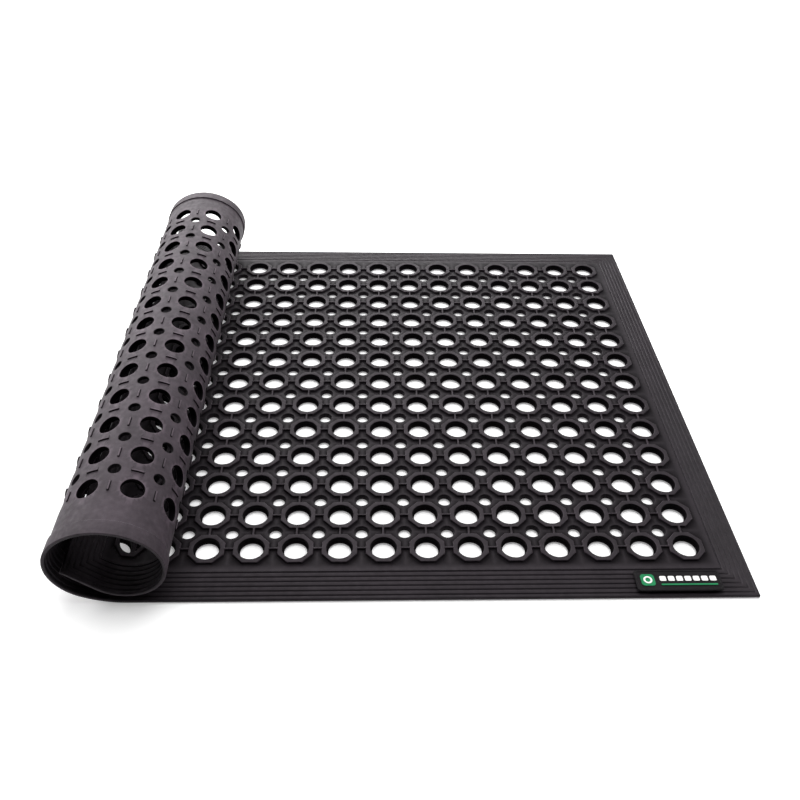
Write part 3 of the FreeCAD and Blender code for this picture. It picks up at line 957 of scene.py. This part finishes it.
@dataclass
class Badge:
    """Soft PVC badge glued to a land in the front ramp. Its marks are plain shapes."""

    edge_round: float = 0.7
    mark_round: float = 0.16
    rim_width: float = 1.5
    rim_height: float = 0.5
    sunk_root: float = 0.1       # how far a mark reaches into the plate under it
    plate_corner: float = 4.0
    tile_corner: float = 4.5
    line_corner: float = 1.0
    bar_corner: float = 1.6
    bar_count: int = 7
    bar_width: float = 8.6
    bar_gap: float = 3.0
    ring_share: float = 0.6      # inner radius of the ring as a share of the outer one
    ring_segments: int = 48
    land_inset: float = 2.0
    land_bottom: float = 3.0
    land_round: float = 0.3
    corner_steps: int = 10
    black: VinylFinish = VinylFinish("soft_pvc_black", "#0c090c", "#120f12")
    green: VinylFinish = VinylFinish("soft_pvc_green", "#1f7a4d", "#1a6b43", (0.4, 0.52))
    white: VinylFinish = VinylFinish("soft_pvc_white", "#e9e8e6", "#dcdbd8", (0.42, 0.55))
    glue: VinylFinish = VinylFinish("cured_contact_adhesive", "#2a2724", "#35312c", (0.5, 0.7))

    def build(self) -> None:
        """Builds the badge's pieces in the places of their CAD solids."""
        black, green, white = (f.build() for f in (self.black, self.green, self.white))
        frame["nodes"]["badge_adhesive"].data.materials.clear()
        frame["nodes"]["badge_adhesive"].data.materials.append(self.glue.build())
        self.plate(black)
        self.block("badge_green_tile", "badge_tile", self.tile_corner, green)
        self.block("badge_green_underline", "badge_underline", self.line_corner, green)
        self.bars(white)
        self.ring(white)
        self.land()

    def rounded(self, name: str, low: Vector, high: Vector, corner: float, soften: float,
                material: bpy.types.Material, rim: bool = False) -> bpy.types.Object:
        """Flat plate with round corners and softened edges.

        Args:
            name: the piece's name.
            low: lowest corner, in metres.
            high: highest corner, in metres.
            corner: plan radius of the corners, in mm.
            soften: radius of the edges, in mm.
            material: its finish.
            rim: whether the top is sunk inside a raised rim.
        Returns:
            The piece, in the scene.
        """
        build = bmesh.new()
        radius, steps = corner * MM, self.corner_steps
        outline = []
        centres = ((high.x - radius, high.y - radius, 0), (low.x + radius, high.y - radius, 90),
                   (low.x + radius, low.y + radius, 180), (high.x - radius, low.y + radius, 270))
        for cx, cy, start in centres:
            for n in range(steps + 1):
                angle = math.radians(start + 90 * n / steps)
                outline.append((cx + radius * math.cos(angle), cy + radius * math.sin(angle)))
        levels = [(1.0, 0.0), (0.5, 0.134), (0.134, 0.5), (0.0, 1.0)]
        profile = [(0.0, low.z)] + [(soften * MM * (1 - a), high.z - soften * MM * b)
                                    for a, b in reversed(levels)]
        if rim:
            inside = (soften + self.rim_width) * MM
            sunk = high.z - self.rim_height * MM
            profile += [(inside - 0.1 * MM, high.z), (inside + 0.15 * MM, sunk + 0.05 * MM),
                        (inside + 0.4 * MM, sunk)]
        centre = ((low.x + high.x) / 2, (low.y + high.y) / 2)
        rings = []
        for inset, z in profile:
            ring = []
            for x, y in outline:
                dx, dy = x - centre[0], y - centre[1]
                ring.append(build.verts.new((x - math.copysign(min(inset, abs(dx)), dx),
                                             y - math.copysign(min(inset, abs(dy)), dy), z)))
            rings.append(ring)
        for ring, above in zip(rings, rings[1:]):
            for n in range(len(ring)):
                m = (n + 1) % len(ring)
                build.faces.new((ring[n], ring[m], above[m], above[n]))
        build.faces.new(rings[-1])
        build.faces.new(list(reversed(rings[0])))
        bmesh.ops.recalc_face_normals(build, faces=build.faces)
        return self.finished(name, build, material)

    @staticmethod
    def finished(name: str, build: bmesh.types.BMesh, material: bpy.types.Material,
                 ) -> bpy.types.Object:
        """Turns a built mesh into a dressed object with smooth shading.

        Args:
            name: the piece's name.
            build: its mesh, which is used up.
            material: its finish.
        Returns:
            The piece, in the scene.
        """
        mesh = bpy.data.meshes.new(name)
        build.to_mesh(mesh)
        build.free()
        mesh.shade_smooth()
        mesh.set_sharp_from_angle(angle=math.radians(50))
        mesh.materials.append(material)
        piece = bpy.data.objects.new(name, mesh)
        bpy.context.scene.collection.objects.link(piece)
        normals = piece.modifiers.new("flats_stay_flat", "WEIGHTED_NORMAL")
        normals.keep_sharp = True
        LOG.info("%s: %d faces", name, len(mesh.polygons))
        return piece

    def mount(self, piece: bpy.types.Object, slot: Slot, *nodes: str) -> None:
        """Lets a piece ride on the mat and stand for its CAD nodes.

        Args:
            piece: the piece's object.
            slot: not used.
            nodes: the CAD nodes that it replaces.
        """
        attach(piece, MAIN_BODY)
        if nodes:
            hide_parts(*nodes)

    def plate(self, material: bpy.types.Material) -> None:
        """Badge plate with its raised rim.

        Args:
            material: its finish.
        """
        low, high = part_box("badge_plate")
        piece = self.rounded("badge_backing_plate", low, high, self.plate_corner,
                             self.edge_round, material, rim=True)
        self.mount(piece, Slot.BADGE, "badge_plate")

    def block(self, name: str, node: str, corner: float, material: bpy.types.Material) -> None:
        """Raised green mark that fills a CAD node's box.

        Args:
            name: the piece's name.
            node: the CAD node that it stands for.
            corner: plan radius of its corners, in mm.
            material: its finish.
        """
        low, high = self.rooted(node)
        piece = self.rounded(name, low, high, corner, self.mark_round, material)
        self.mount(piece, Slot.GREEN, node)

    def rooted(self, node: str) -> tuple[Vector, Vector]:
        """Box of a mark, carried down into the plate's sunk middle.

        Args:
            node: the mark's CAD node.
        Returns:
            Lowest and highest corner, in metres.
        """
        low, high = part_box(node)
        low.z -= (self.rim_height + self.sunk_root) * MM
        return low, high

    def bars(self, material: bpy.types.Material) -> None:
        """Row of plain white bars.

        Args:
            material: their finish.
        """
        low, high = self.rooted("badge_bars")
        width, gap = self.bar_width * MM, self.bar_gap * MM
        for n in range(self.bar_count):
            left = low.x + n * (width + gap)
            piece = self.rounded(f"badge_white_bar_{n + 1}", Vector((left, low.y, low.z)),
                                 Vector((left + width, high.y, high.z)), self.bar_corner,
                                 self.mark_round, material)
            self.mount(piece, Slot.WHITE, "badge_bars")

    def ring(self, material: bpy.types.Material) -> None:
        """White ring on the green tile.

        Args:
            material: its finish.
        """
        low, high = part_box("badge_ring")
        centre = (low + high) / 2
        outer = (high.x - low.x) / 2
        inner = outer * self.ring_share
        edge = self.mark_round * MM
        section = [(outer, low.z), (outer, high.z - edge), (outer - edge, high.z),
                   (inner + edge, high.z), (inner, high.z - edge), (inner, low.z)]
        build = bmesh.new()
        rings = []
        for n in range(self.ring_segments):
            angle = 2 * math.pi * n / self.ring_segments
            rings.append([build.verts.new((centre.x + r * math.cos(angle),
                                           centre.y + r * math.sin(angle), z))
                          for r, z in section])
        for ring, after in zip(rings, rings[1:] + rings[:1]):
            for n in range(len(section)):
                m = (n + 1) % len(section)
                build.faces.new((ring[n], ring[m], after[m], after[n]))
        bmesh.ops.recalc_face_normals(build, faces=build.faces)
        self.mount(self.finished("badge_white_ring", build, material), Slot.WHITE, "badge_ring")

    def land(self) -> None:
        """Flat land moulded in the ramp under the badge."""
        low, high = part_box("badge_plate")
        glue_low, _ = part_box("badge_adhesive")
        inset = Vector((self.land_inset * MM, self.land_inset * MM, 0))
        rubber = bpy.data.materials[RubberFinish.name]
        bottom = Vector((low.x, low.y, self.land_bottom * MM)) + inset
        top = Vector((high.x, high.y, glue_low.z)) - inset
        corner = self.plate_corner - self.land_inset
        piece = self.rounded("badge_land", bottom, top, corner, self.land_round, rubber)
        mesh = piece.data
        wear_sheen_shade = mesh.attributes.new(RubberFinish.wear_sheen_shade_attribute, "FLOAT", "POINT")
        wear_sheen_shade.data.foreach_set("value", [0.45] * len(mesh.vertices))
        place = mesh.attributes.new(RubberFinish.place_attribute, "FLOAT_VECTOR", "POINT")
        place.data.foreach_set("vector", [c for v in mesh.vertices for c in v.co])
        self.mount(piece, Slot.RUBBER)


# ---------------------------------------------------------------- the studio

@dataclass(frozen=True)
class Softbox:
    """Rectangular light: its place and size in metres, its power in watts."""

    name: str
    place: tuple[float, float, float]
    size: tuple[float, float]
    power: float

    def build(self) -> None:
        """Adds the light, facing the mat."""
        data = bpy.data.lights.new(self.name, "AREA")
        data.shape = "RECTANGLE"
        data.size, data.size_y = self.size
        data.energy = self.power
        lamp = bpy.data.objects.new(self.name, data)
        lamp.location = self.place
        lamp.rotation_mode = "QUATERNION"
        lamp.rotation_quaternion = Vector(self.place).to_track_quat("Z", "Y")
        bpy.context.scene.collection.objects.link(lamp)


@dataclass
class Studio:
    """White floor, soft light mostly from behind and above, and the camera."""

    lights: tuple[Softbox, ...] = (
        Softbox("key_behind", (-0.9, 3.0, 1.3), (4.4, 1.6), 195.0),
        Softbox("overhead", (0.2, 0.5, 2.9), (3.4, 2.6), 112.0),
        Softbox("side_left", (-3.0, 0.9, 1.2), (2.4, 1.2), 55.0),
        Softbox("side_right", (3.0, 0.9, 1.2), (2.4, 1.2), 55.0))
    world_strength: float = 0.02
    floor_glow: float = 0.3      # lifts the floor to white where the mat shades it
    floor_drop: float = 0.0005   # keeps the floor just clear of the mat's underside
    floor_size: float = 14.0
    floor_colour: str = "#f6f6f6"
    lens_mm: float = 37.46
    camera_from_front_corner: tuple[float, float, float] = (-0.534, -0.6733, 0.9269)
    tilt_down: float = 40.405
    pan: float = -2.936
    roll: float = 1.948

    def build(self) -> None:
        """Builds the floor, world, lights and camera."""
        self.floor()
        self.world()
        for light in self.lights:
            light.build()
        self.camera()

    def floor(self) -> None:
        """Plain pale floor."""
        half = self.floor_size / 2
        mesh = bpy.data.meshes.new("floor")
        mesh.from_pydata([(-half, -half, 0), (half, -half, 0), (half, half, 0), (-half, half, 0)],
                         [], [(0, 1, 2, 3)])
        material = bpy.data.materials.new("matt_white_floor")
        material.use_nodes = True
        shader = material.node_tree.nodes["Principled BSDF"]
        shader.inputs["Base Color"].default_value = linear(self.floor_colour)
        shader.inputs["Roughness"].default_value = 0.9
        shader.inputs["Specular IOR Level"].default_value = 0.2
        shader.inputs["Emission Color"].default_value = linear(self.floor_colour)
        shader.inputs["Emission Strength"].default_value = self.floor_glow
        mesh.materials.append(material)
        floor = bpy.data.objects.new("floor", mesh)
        bpy.context.scene.collection.objects.link(floor)
        floor.location.z = -self.floor_drop

    def world(self) -> None:
        """Even pale surroundings."""
        world = bpy.data.worlds.new("studio")
        world.use_nodes = True
        background = world.node_tree.nodes["Background"]
        background.inputs["Color"].default_value = (1.0, 1.0, 1.0, 1.0)
        background.inputs["Strength"].default_value = self.world_strength
        bpy.context.scene.world = world
        bpy.context.scene.view_settings.view_transform = "Standard"

    def camera(self) -> None:
        """Camera in front of the mat's right part, looking down at it."""
        low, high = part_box("flat_panel")
        data = bpy.data.cameras.new("camera")
        data.lens = self.lens_mm
        data.sensor_width = 36.0
        camera = bpy.data.objects.new("camera", data)
        turn = (Matrix.Rotation(math.radians(self.pan), 4, "Z")
                @ Matrix.Rotation(math.radians(90 - self.tilt_down), 4, "X")
                @ Matrix.Rotation(math.radians(self.roll), 4, "Z"))
        place = Vector((high.x, low.y, 0)) + Vector(self.camera_from_front_corner)
        camera.matrix_world = Matrix.Translation(place) @ turn
        bpy.context.scene.collection.objects.link(camera)
        bpy.context.scene.camera = camera


def main() -> None:
    """Builds the mat's looks, the badge and the studio."""
    logging.basicConfig(level=logging.INFO, format="%(message)s")
    Sheet().build()
    Badge().build()
    Studio().build()


if __name__ == "__main__":
    main()
